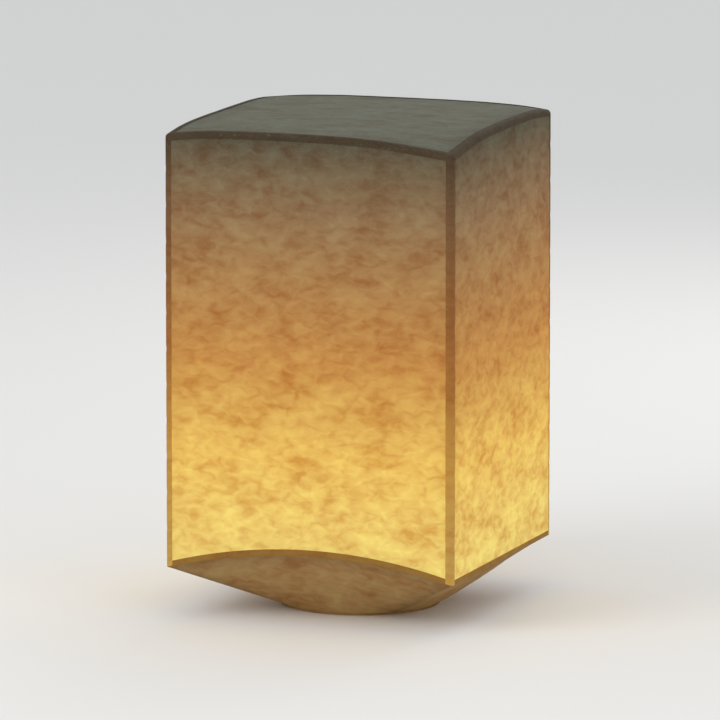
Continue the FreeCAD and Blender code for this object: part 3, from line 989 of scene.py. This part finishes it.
@dataclass
class Envelope:
    """The paper bag: four walls, the top, four throat sheets and the tapes over their seams."""

    finishes: Finishes
    form: FilledForm
    paper: float = 0.25 * MM
    tape: float = 0.25 * MM
    tape_gap: float = 0.06 * MM          # glue under the first layer of tape
    tape_layer: float = 0.31 * MM        # how much further out a tape over another tape lies
    tape_width: float = 9.0 * MM
    soft_edge_slack: float = 1.2         # a corner tape's legs, over their width, lie loose on the soft edge
    tape_turn: float = 4.0 * MM          # how far a tape turns on to the next sheet below
    folded_top: float = 0.060            # height of the top when the bag is folded flat
    anchor: float = 0.005                # the level that the paper folds down on
    columns: int = 92
    rows: int = 146
    throat_rows: int = 44
    tape_columns: int = 6
    bend_rows: int = 7                   # rows on the soft upper edge
    wall_patch: float = 0.7              # metres between one wall's place in the pulp and the next one's
    corner_patch: float = 3.0            # where the other sheets start, so that no two look alike
    foot_patch: float = 9.0
    throat_patch: float = 20.0
    lid_patch: float = 30.0
    lid_tape_patch: float = 40.0
    corner_waver: float = 0.05           # how unevenly a corner tape's edges are cut
    lid_tape_down: float = 0.55          # the share of a top tape's width on the wall below the soft edge
    lid_tape_in: float = 0.7             # and the share on the top sheet
    draw_in: float = 0.6                 # the share of its width that a flat throat sheet loses downwards
    throat_depth: float = 0.16           # about how deep a throat sheet is, for its flat place
    seam_spread: float = 0.2             # about how far a throat sheet's middle is from its seams

    @property
    def keep(self) -> float:
        """What folding leaves of the paper's height."""
        return (self.folded_top - self.anchor) / (self.form.top - self.anchor)

    def fold(self, piece: bpy.types.Object, level: float) -> None:
        """Gives a piece its own copy of its mesh."""
        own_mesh(piece)

    def lay(self, node: str, kind: str, grid: Grid, outward: Vector, lift: float, dressing: Dressing,
            body: str = BODY) -> None:
        """Makes one sheet or strip of the bag, dresses it and gives it its own copy of its mesh.

        Args:
            node: the design's node that it replaces.
            kind: the last word of its name.
            grid: the surface that it follows.
            outward: roughly the way that it faces.
            lift: how far its inner face stands off the grid.
            dressing: its finish.
            body: the body that it rides on.
        """
        thickness = self.tape if kind == "strip" else self.paper
        piece = Maker.sheet(f"{node}_{kind}", grid, outward, thickness, lift)
        Maker.finish(piece, dressing, body, node)
        self.fold(piece, self.form.top if body == LID else self.anchor)

    def wall(self, side: Side) -> None:
        """One wall, with its swell, its creases and its soft edges."""
        form = self.form
        flat_half = form.half - form.corner_radius
        edge = [form.reach - step for step in spread(0.0, form.reach - flat_half, 5)]
        middle = spread(-flat_half, flat_half, self.columns)
        across = [-a for a in edge] + middle[1:-1] + list(reversed(edge))
        bend = form.soft_arc

        def up(a: float, share: float) -> float:
            """Metres up the wall: rows are even below the soft upper edge and close together on it."""
            _, length = form.climb(side, a)
            return (length - bend) * min(share, 1.0) + bend * max(share - 1.0, 0.0)

        shares = spread(0.0, 1.0, self.rows) + spread(1.0, 2.0, self.bend_rows)[1:]

        def gap(a: float, share: float) -> float:
            """The distance to the nearest of the wall's four seams."""
            _, length = form.climb(side, a)
            return min(form.reach - abs(a), up(a, min(share, 1.0)), length - up(a, share))

        def flat(a: float, share: float) -> tuple[float, float]:
            """The place on the flat sheet."""
            return a + side.value * self.wall_patch, up(a, share) + form.foot_level(side, a)

        grid = Grid.over(across, shares, lambda a, s: form.wall(side, a, up(a, s)), gap, flat)
        self.lay(f"wall_{side.label}", "sheet", grid, side.turn(Vector((0, -1, 0))), -self.paper,
                 self.finishes.wall)

    def corner_tape(self, side: Side) -> None:
        """The tape over the upright seam at a wall's right-hand edge."""
        form = self.form
        offsets = spread(-1.0, 1.0, 2 * self.tape_columns + 9)
        levels = spread(0.0, 1.0, self.rows)

        def place(q: float, share: float) -> Vector:
            """A point of the tape; q runs from its left edge, on this wall, to its right one."""
            on, sign = (side, 1) if q <= 0 else (side.next, -1)
            waver = 1 + self.corner_waver * rough(q * 0.1, side.value, share, 0.02)
            across = sign * (form.reach - abs(q) * self.tape_width * self.soft_edge_slack * waver)
            _, length = form.climb(on, across)
            return form.wall(on, across, share * (length - form.soft_arc))

        grid = Grid.over(offsets, levels, place, lambda q, s: self.tape_width * (1 - abs(q)),
                         lambda q, s: (q * self.tape_width + self.corner_patch + side.value, s * form.top))
        corners = {Side.FRONT: "front_right", Side.RIGHT: "back_right", Side.BACK: "back_left",
                   Side.LEFT: "front_left"}
        self.lay(f"corner_tape_{corners[side]}", "strip", grid, side.turn(Vector((1, -1, 0))),
                 self.tape_gap + self.tape_layer, self.finishes.seam)

    def foot_tape(self, side: Side) -> None:
        """The tape along a wall's lower edge, turned under on to the throat sheet."""
        form = self.form
        across = spread(-1.0, 1.0, self.columns)
        steps = spread(-self.tape_turn, 0.0, 4) + spread(0.0, self.tape_width, self.tape_columns)[1:]

        def place(a: float, step: float) -> Vector:
            """A point of the tape; step is negative on the throat sheet and positive on the wall."""
            if step >= 0:
                return form.wall(side, a * form.reach, step)
            upper, lower = form.throat(side, a, 0.0), form.throat(side, a, 1.0)
            return form.throat(side, a, -step / (upper - lower).length)

        grid = Grid.over(across, steps, place, lambda a, step: self.tape_width - abs(step),
                         lambda a, step: (a * form.reach + self.foot_patch + side.value, step))
        self.lay(f"foot_tape_{side.label}", "strip", grid, side.turn(Vector((0, -1, -0.2))), self.tape_gap,
                 self.finishes.foot)

    def throat(self, side: Side) -> None:
        """One throat sheet, drawn in from the wall to the hoop and glued down its outside."""
        form = self.form
        across = spread(-1.0, 1.0, self.columns)
        downs = spread(0.0, 1.0, self.throat_rows) + [1.5, 2.0]

        def place(a: float, down: float) -> Vector:
            """A point of the sheet; beyond 1 it runs down the hoop's outer face."""
            point = form.throat(side, a, min(down, 1.0))
            if down > 1:
                point.z = form.hem_top + (form.hoop_foot - form.hem_top) * (down - 1)
            return point

        def gap(a: float, down: float) -> float:
            """The distance to the crease or to a seam between throat sheets."""
            return min((1 - abs(a)) * self.seam_spread, abs(down) * self.throat_depth)

        def flat(a: float, down: float) -> tuple[float, float]:
            """The place on the flat sheet, which is drawn in towards the hoop."""
            half_width = form.reach * (1 - self.draw_in * min(down, 1))
            return a * half_width + self.throat_patch + side.value, -down * self.throat_depth

        grid = Grid.over(across, downs, place, gap, flat)
        self.lay(f"throat_{side.label}", "sheet", grid, side.turn(form.throat_outward), -self.paper,
                 self.finishes.throat)

    def lid(self) -> None:
        """The top sheet, a little domed."""
        form = self.form
        reach = form.half - form.shoulder
        left = form.corner_radius - form.shoulder
        steps = spread(-reach, reach, self.columns)

        def place(x: float, y: float) -> Vector:
            """A point of the sheet, held inside its soft corners."""
            ax, ay = abs(x) - (reach - left), abs(y) - (reach - left)
            if ax > 0 and ay > 0 and math.hypot(ax, ay) > left:
                shrink = left / math.hypot(ax, ay)
                x = math.copysign(reach - left + ax * shrink, x)
                y = math.copysign(reach - left + ay * shrink, y)
            return Vector((x, y, form.lid_level(x, y)))

        grid = Grid.over(steps, steps, place, lambda x, y: reach - max(abs(x), abs(y)),
                         lambda x, y: (x + self.lid_patch, y))
        self.lay("top_sheet", "paper", grid, Vector((0, 0, 1)), -self.paper, self.finishes.lid, LID)

    def lid_tape(self, side: Side) -> None:
        """The tape over one upper edge, half on the wall and half on the top sheet."""
        form = self.form
        across = [a * form.reach for a in spread(-1.0, 1.0, self.columns)]
        bend = form.soft_arc
        steps = spread(-bend - self.tape_width * self.lid_tape_down, 0.0, 9)
        steps += spread(0.0, self.tape_width * self.lid_tape_in, 4)[1:]

        def place(a: float, step: float) -> Vector:
            """A point of the tape; step is negative on the wall and positive on the top sheet."""
            if step > 0:
                return form.lid_edge(side, a, min(step, self.tape_width))
            return form.wall(side, a, form.climb(side, a)[1] + step)

        grid = Grid.over(across, steps, place, lambda a, step: self.tape_width - abs(step),
                         lambda a, step: (a + self.lid_tape_patch + side.value, step))
        self.lay(f"top_tape_{side.label}", "strip", grid, side.turn(Vector((0, -1, 1))),
                 self.tape_gap + 2 * self.tape_layer, self.finishes.seam, LID)

    def build(self) -> None:
        """Makes the whole bag."""
        for side in Side:
            self.wall(side)
            self.corner_tape(side)
            self.foot_tape(side)
            self.throat(side)
            self.lid_tape(side)
        self.lid()


# ---- hoop ---------------------------------------------------------------------------------
@dataclass
class Hoop:
    """The split-bamboo hoop, the whippings over its joint, and the hem folded round it."""

    finishes: Finishes
    outer: float
    foot: float
    head: float
    hem_top: float
    strip: float = 2.0 * MM              # the split bamboo's thickness
    scarf_start: float = math.radians(200.0)
    scarf_length: float = 36.0 * MM
    whipping_length: float = 9.0 * MM
    thread: float = 0.4 * MM
    joint_angles: tuple[float, ...] = (math.radians(22), math.radians(131), math.radians(262))
    edge: float = 0.5 * MM               # the strip's eased corners
    knuckle: float = 0.45 * MM           # how far the bamboo's joints stand up
    knuckle_reach: float = 2.2 * MM      # and how far along the strip they reach
    wrap_pitch: float = 1.04             # between turns of a whipping, in threads
    wrap_squareness: float = 0.35        # 1 for a round turn, and less for one that hugs the strip
    hem: float = 0.26 * MM               # the hem's thickness
    hem_outside: float = 0.32 * MM       # how far past the hoop its outer face lies, over the throats
    hem_inside: float = 0.04 * MM        # its gap from the hoop's inner face
    hem_bend: float = 0.5 * MM
    hem_crimp: float = 0.10 * MM
    hem_waver: float = 0.45 * MM         # how uneven its upper edges are
    hoop_steps: int = 420
    hem_steps: int = 512

    @property
    def scarf_sweep(self) -> float:
        """The angle that the scarfed joint covers."""
        return self.scarf_length / self.outer

    @property
    def whipping_middles(self) -> tuple[float, float]:
        """The angles at the middles of the two whippings."""
        return self.scarf_start, self.scarf_start + self.scarf_sweep

    def groove(self, angle: float) -> float:
        """How deep the strip is cut back at an angle to take the whippings."""
        half = self.whipping_length / self.outer / 2
        for middle in self.whipping_middles:
            off = apart(angle, middle)
            if off < half:
                return self.thread * smooth((half - off) / (0.1 * half))
        return 0.0

    @staticmethod
    def taper(share: float) -> float:
        """The part of the strip's thickness that one lapped end takes, never quite none or all."""
        return 0.04 + 0.92 * share

    def strip_section(self, angle: float) -> Section:
        """The strip's section, tapered where its two ends lap and raised at the bamboo's joints."""
        cut = self.groove(angle)
        inner, outer = self.outer - self.strip + cut, self.outer - cut
        begin, end = self.scarf_start, self.scarf_start + FULL_TURN
        if angle < begin + self.scarf_sweep:
            outer = inner + (outer - inner) * self.taper((angle - begin) / self.scarf_sweep)
        if angle > end:
            inner += (outer - inner) * self.taper((angle - end) / self.scarf_sweep)
        lift = 0.0
        for joint in self.joint_angles:
            off = apart(angle, joint) * self.outer
            lift = max(lift, self.knuckle * math.exp(-(off / self.knuckle_reach) ** 2))
        low, high = self.foot + cut, self.head - cut + lift
        ease = min(self.edge, (outer - inner) * 0.45)
        corners = []
        for r, z, start in ((outer, low, -0.25), (outer, high, 0.0), (inner, high, 0.25), (inner, low, 0.5)):
            sign_r = -1 if r == outer else 1
            sign_z = 1 if z == low else -1
            for step in range(4):
                turn = FULL_TURN * (start + step / 12)
                corners.append((r + ease * (sign_r + math.cos(turn)), z + ease * (sign_z + math.sin(turn))))
        return corners

    def bamboo(self) -> None:
        """The strip, lapped on itself at the scarf."""
        turns = spread(self.scarf_start, self.scarf_start + FULL_TURN + self.scarf_sweep, self.hoop_steps)
        piece = Maker.ring("bamboo_hoop", self.strip_section, turns, False)
        Maker.finish(piece, self.finishes.bamboo, BODY, "base_hoop")

    def whippings(self) -> None:
        """Close turns of thread round the strip at both ends of the scarf."""
        radius = self.thread / 2
        middle_radius = self.outer - self.strip / 2
        half_width = self.strip / 2 - radius
        half_height = (self.head - self.foot) / 2 - radius
        middle_level = (self.head + self.foot) / 2
        per_turn = 28
        count = int(self.whipping_length / (self.thread * self.wrap_pitch)) * per_turn

        def squared(wave: float) -> float:
            """A sine or cosine pressed towards -1 and 1, so that a round turn hugs the strip's corners."""
            return math.copysign(abs(wave) ** self.wrap_squareness, wave)

        for n, middle in enumerate(self.whipping_middles, 1):
            route = []
            for k in range(count + 1):
                angle = middle + (k / count - 0.5) * (self.whipping_length - self.thread) / self.outer
                turn = FULL_TURN * k / per_turn
                route.append(polar(middle_radius + squared(math.cos(turn)) * half_width, angle,
                                   middle_level + squared(math.sin(turn)) * half_height))
            piece = Maker.strand(f"whipping_{n}_turns", [route], radius, 6)
            Maker.finish(piece, self.finishes.whipping, BODY, f"hoop_whipping_{n}")

    def hem_section(self, angle: float) -> Section:
        """The hem's section: a paper channel under the hoop with uneven upper edges."""
        run = angle * 0.15
        crimp = self.hem_crimp * (1 + rough(run, 0, 0, 0.012))
        outside = self.outer + self.hem_outside + crimp
        inside = self.outer - self.strip - self.hem_inside
        wavy = self.hem_waver * rough(run, 4.0, 0, 0.02)
        up_out, up_in = self.hem_top + wavy, self.hem_top - wavy * 0.8
        thick, bend = self.hem, self.hem_bend
        skin = []
        for r, sign in ((outside, 1), (inside - thick, -1)):
            line = [(r, up_out if sign > 0 else up_in)]
            for step in range(4):
                turn = step * math.pi / 6
                line.append((r - sign * bend * (1 - math.cos(turn)), bend * (1 - math.sin(turn))))
            skin.append(line)
        outer_line = skin[0] + list(reversed(skin[1]))
        core = [(outside - thick, up_out), (outside - thick, bend), (outside - thick - 0.3 * MM, thick),
                (inside + 0.3 * MM, thick), (inside, bend), (inside, up_in)]
        return outer_line + list(reversed(core))

    def hem_channel(self) -> None:
        """The paper hem."""
        piece = Maker.ring("hem_paper_channel", self.hem_section, circle(self.hem_steps), True)
        Maker.mark(piece, SEAM_GAP, [1.0] * len(piece.data.vertices))
        Maker.finish(piece, self.finishes.hem, BODY, "hem_tape")

    def build(self) -> None:
        """Makes the strip, its whippings and the hem."""
        self.bamboo()
        self.whippings()
        self.hem_channel()


# ---- burner -------------------------------------------------------------------------------
@dataclass
class Burner:
    """The crossed wires with the post that they make, and the fuel roll that drops over it."""

    finishes: Finishes
    hoop: Hoop
    roll_low: Vector
    roll_high: Vector
    wire: float = 0.4 * MM               # the cross wires' radius
    level: float = 6.0 * MM
    post_half: float = 5.0 * MM
    post_above_roll: float = 5.0 * MM
    hole: float = 8.0 * MM
    clearance: float = 0.25 * MM
    tail: float = 10.0 * MM
    tail_drop: float = 3.0 * MM
    tail_turns: int = 4
    bend: float = 0.8 * MM
    post_bend: float = 1.5 * MM
    tie_wire: float = 0.26 * MM          # the tie's radius
    tie_turns: float = 3.2
    tie_room: float = 0.03 * MM          # how far inside the design's tie its outer side stays
    layer: float = 0.9 * MM              # one turn of the roll's paper
    thread: float = 0.4 * MM             # radius of the binding thread
    thread_inset: float = 4.0 * MM
    thread_turns: int = 2                # in each band
    thread_start: float = 0.7            # the angle where the lower band starts
    twist_steps: int = 14                # steps in a turn of each winding
    tie_steps: int = 40
    thread_steps: int = 90
    roll_steps: int = 180

    @staticmethod
    def eased(corners: Sequence[Vector], radii: Sequence[float]) -> list[Vector]:
        """A line through corners, with each inner corner rounded.

        Args:
            corners: the line's corners.
            radii: the radius at each inner corner.

        Returns:
            Points along the line.
        """
        line = [corners[0]]
        for before, corner, after, radius in zip(corners, corners[1:], corners[2:], radii):
            back, on = (before - corner).normalized(), (after - corner).normalized()
            half = back.angle(on) / 2
            middle = (back + on).normalized()
            centre = corner + middle * (radius / math.sin(half))
            first, last = corner + back * (radius / math.tan(half)), corner + on * (radius / math.tan(half))
            for step in range(7):
                spoke = (first - centre).lerp(last - centre, step / 6).normalized()
                line.append(centre + spoke * radius)
        line.append(corners[-1])
        return line

    def wire_route(self, arch_top: float) -> list[Vector]:
        """One cross wire along X: arched in the middle, through the hoop, back over it and twisted."""
        hoop = self.hoop
        outside = hoop.outer + self.wire + self.clearance
        over = hoop.head + self.wire + self.clearance
        inside = hoop.outer - hoop.strip - self.wire - self.clearance
        twist_start = inside - self.tail_drop
        twist_end = twist_start - self.tail
        axis = self.level + self.wire

        def twisted(phase: float) -> list[Vector]:
            """A helix of the wire's radius, lying along X from the twist's inner end."""
            return [Vector((p.z, p.y, axis + p.x))
                    for p in coil(self.wire, twist_end, self.tail, self.tail_turns, self.twist_steps, phase)]

        post = self.eased([Vector((0, 0, arch_top)), Vector((self.post_half, 0, arch_top)),
                           Vector((self.post_half, 0, self.level)), Vector((twist_end, 0, self.level))],
                          [self.post_bend, self.post_bend])
        loop = self.eased([Vector((twist_start, 0, self.level)), Vector((outside, 0, self.level)),
                           Vector((outside, 0, over)), Vector((inside, 0, over)),
                           Vector((twist_start, 0, axis + self.wire))],
                          [self.bend, self.bend, self.bend])
        half = post[:-1] + twisted(math.pi) + loop[1:-1] + twisted(0.0)[::-1]
        other = [Vector((-p.x, -p.y, p.z)) for p in reversed(half)]
        return other[:-1] + half

    def wires(self) -> None:
        """Both cross wires, one along each diagonal."""
        high = self.roll_high.z + self.post_above_roll
        step = 2 * self.wire + self.clearance
        for name, arch_top, quarter in (("upper", high, 1), ("lower", high - step, 3)):
            turn = Matrix.Rotation(quarter * math.pi / 4, 3, "Z")
            route = [turn @ p for p in self.wire_route(arch_top)]
            piece = Maker.strand(f"cross_wire_{name}_strand", [route], self.wire, 10)
            Maker.finish(piece, self.finishes.wire, BODY, f"cross_wire_{name}")

    def tie(self) -> None:
        """A little over three turns of thin wire that hold the post's legs together."""
        low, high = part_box("post_tie")
        radius = self.tie_wire
        route = coil(high.x - radius - self.tie_room, low.z + radius, (high.z - low.z) - 2 * radius,
                     self.tie_turns, self.tie_steps)
        piece = Maker.strand("post_tie_turns", [route], radius, 8)
        Maker.finish(piece, self.finishes.wire, BODY, "post_tie")

    def roll(self) -> None:
        """The fuel roll: one long strip of paper wound up, so its ends show a spiral."""
        low, high, outer = self.roll_low.z, self.roll_high.z, self.roll_high.x
        radial = int((outer - self.hole) / self.layer) * 5
        ridge, flap, slack, end_band = 0.32 * MM, 0.45 * MM, 0.05 * MM, 2 * MM

        def wave(radius: float, share: float) -> float:
            """How deep between two turns a point lies: 0 on a turn's edge and 1 between turns."""
            return abs(((radius - self.hole) / self.layer - share) % 1.0 - 0.5) * 2

        def depth(x: float, y: float, z: float) -> float:
            """The winding's shade at a point: only the two ends show the turns."""
            if low + end_band < z < high - end_band:
                return 0.0
            return 0.8 * wave(math.hypot(x, y), math.atan2(y, x) % FULL_TURN / FULL_TURN) ** 2

        def section(angle: float) -> Section:
            """The roll's section at an angle: bore, lower end, outside, upper end."""
            share = angle / FULL_TURN
            last = outer - flap * share - slack
            bottom, top = [], []
            for k in range(radial + 1):
                r = self.hole + (last - self.hole) * k / radial
                dip = ridge * wave(r, share) ** 1.5
                loose = 0.25 * MM * rough(r * math.cos(angle), r * math.sin(angle), 2.0, 0.009)
                bottom.append((r, low + dip * 0.6))
                top.append((r, high - dip - 0.3 * MM + loose))
            side = []
            for k in range(1, 10):
                z = low + (high - low) * k / 10
                side.append((last + slack * rough(math.cos(angle), math.sin(angle), z * 20, 0.4), z))
            return bottom + side + list(reversed(top))

        piece = Maker.ring("fuel_roll_wound", section, circle(self.roll_steps), True)
        corners = [vertex.co for vertex in piece.data.vertices]
        Maker.mark(piece, WINDING, [depth(*corner) for corner in corners])
        Maker.mark(piece, BURN, [smooth((corner.z - low) / (high - low) * 1.4 - 0.5) for corner in corners])
        Maker.finish(piece, self.finishes.wax, FUEL, "fuel_roll")

    def threads(self) -> None:
        """Two bands of thread that bind the roll, each of two turns."""
        radius = self.roll_high.x + self.thread
        first = self.roll_low.z + self.thread_inset
        second = self.roll_high.z - self.thread_inset - 4 * self.thread
        routes = [coil(radius, start + self.thread, 2 * self.thread, self.thread_turns, self.thread_steps,
                       self.thread_start + band)
                  for band, start in enumerate((first, second))]
        piece = Maker.strand("fuel_binding_threads", routes, self.thread, 8)
        Maker.finish(piece, self.finishes.binding, FUEL, "fuel_threads")

    def build(self) -> None:
        """Makes the wires, the tie, the roll and its threads."""
        self.wires()
        self.tie()
        self.roll()
        self.threads()


# ---- studio -------------------------------------------------------------------------------
@dataclass
class Studio:
    """A plain pale floor, soft lights and a long lens."""

    azimuth: float = math.radians(19.9)
    elevation: float = math.radians(9.3)
    distance: float = 16.0
    lens: float = 430.0
    aim: Vector = field(default_factory=lambda: Vector((0.0, 0.0, 0.455)))
    flame_level: float = 0.044           # over the roll, and still under the folded top
    floor_half: float = 40.0
    floor_paint: Colour = (0.78, 0.77, 0.75)
    sky: Colour = (0.86, 0.88, 0.90)
    sky_strength: float = 0.92
    flame_watts: float = 0.7
    flame_colour: Colour = (1.0, 0.62, 0.26)
    flame_size: float = 0.012

    def camera(self) -> None:
        """The camera, on the side of the lantern that shows the front and the right wall."""
        data = bpy.data.cameras.new("camera")
        data.lens = self.lens
        data.clip_end = 100.0
        camera = bpy.data.objects.new("camera", data)
        level = math.cos(self.elevation)
        away = Vector((math.sin(self.azimuth) * level, -math.cos(self.azimuth) * level,
                       math.sin(self.elevation)))
        camera.location = self.aim + away * self.distance
        camera.rotation_euler = (-away).to_track_quat("-Z", "Y").to_euler()
        bpy.context.scene.collection.objects.link(camera)
        bpy.context.scene.camera = camera

    def floor(self) -> None:
        """A wide, flat, pale floor."""
        size = self.floor_half
        mesh = bpy.data.meshes.new("floor")
        corners = [(-size, -size, 0.0), (size, -size, 0.0), (size, size, 0.0), (-size, size, 0.0)]
        mesh.from_pydata(corners, [], [(0, 1, 2, 3)])
        floor = bpy.data.objects.new("floor", mesh)
        bpy.context.scene.collection.objects.link(floor)
        material = bpy.data.materials.new("floor")
        material.use_nodes = True
        shader = material.node_tree.nodes["Principled BSDF"]
        shader.inputs["Base Color"].default_value = (*self.floor_paint, 1.0)
        shader.inputs["Roughness"].default_value = 0.9
        mesh.materials.append(material)

    def lamp(self, name: str, place: Vector, size: float, power: float, colour: Colour) -> None:
        """A square soft lamp that faces the lantern."""
        data = bpy.data.lights.new(name, "AREA")
        data.size = size
        data.energy = power
        data.color = colour
        lamp = bpy.data.objects.new(name, data)
        lamp.location = place
        lamp.rotation_euler = (self.aim - place).to_track_quat("-Z", "Y").to_euler()
        bpy.context.scene.collection.objects.link(lamp)

    def flame_light(self) -> None:
        """The flame's own light, over the fuel roll and inside the paper."""
        data = bpy.data.lights.new("flame", "POINT")
        data.energy = self.flame_watts
        data.color = self.flame_colour
        data.shadow_soft_size = self.flame_size
        lamp = bpy.data.objects.new("flame", data)
        lamp.location = (0.0, 0.0, self.flame_level)
        bpy.context.scene.collection.objects.link(lamp)

    def build(self) -> None:
        """Sets the camera, the floor and the lights."""
        self.camera()
        self.floor()
        self.lamp("key", Vector((-2.4, -3.4, 3.0)), 2.6, 75.0, (1.0, 0.98, 0.95))
        self.lamp("fill", Vector((3.4, -2.2, 1.8)), 2.6, 16.0, (0.95, 0.97, 1.0))
        self.lamp("back", Vector((0.6, 3.6, 2.8)), 2.4, 34.0, (1.0, 0.99, 0.97))
        self.flame_light()
        world = bpy.data.worlds.new("studio")
        world.use_nodes = True
        background = world.node_tree.nodes["Background"]
        background.inputs["Color"].default_value = (*self.sky, 1.0)
        background.inputs["Strength"].default_value = self.sky_strength
        bpy.context.scene.world = world
        bpy.context.scene.view_settings.view_transform = "Standard"


def main() -> None:
    """Builds the studio and the lantern, sub-assembly by sub-assembly."""
    logging.basicConfig(level=logging.INFO, format="%(message)s")
    wall_low, wall_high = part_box("wall_front")
    throat_low, throat_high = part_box("throat_front")
    hoop_low, hoop_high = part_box("base_hoop")
    _, hem_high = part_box("hem_tape")
    roll_low, roll_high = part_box("fuel_roll")
    lap = 10.0 * MM          # how far the throat sheets reach up inside the walls
    glue = 0.15 * MM         # between the hoop and the throat sheets round it
    Studio().build()
    finishes = Finishes()
    form = FilledForm(
        half=wall_high.x, top=LANTERN_TOP, corner_level=wall_low.z, crown_level=throat_high.z - lap,
        hoop_radius=hoop_high.x + glue, hoop_foot=throat_low.z, hem_top=hem_high.z)
    Envelope(finishes, form).build()
    hoop = Hoop(finishes, outer=hoop_high.x, foot=hoop_low.z, head=hoop_high.z, hem_top=hem_high.z)
    hoop.build()
    Burner(finishes, hoop, roll_low, roll_high).build()


if __name__ == "__main__":
    main()
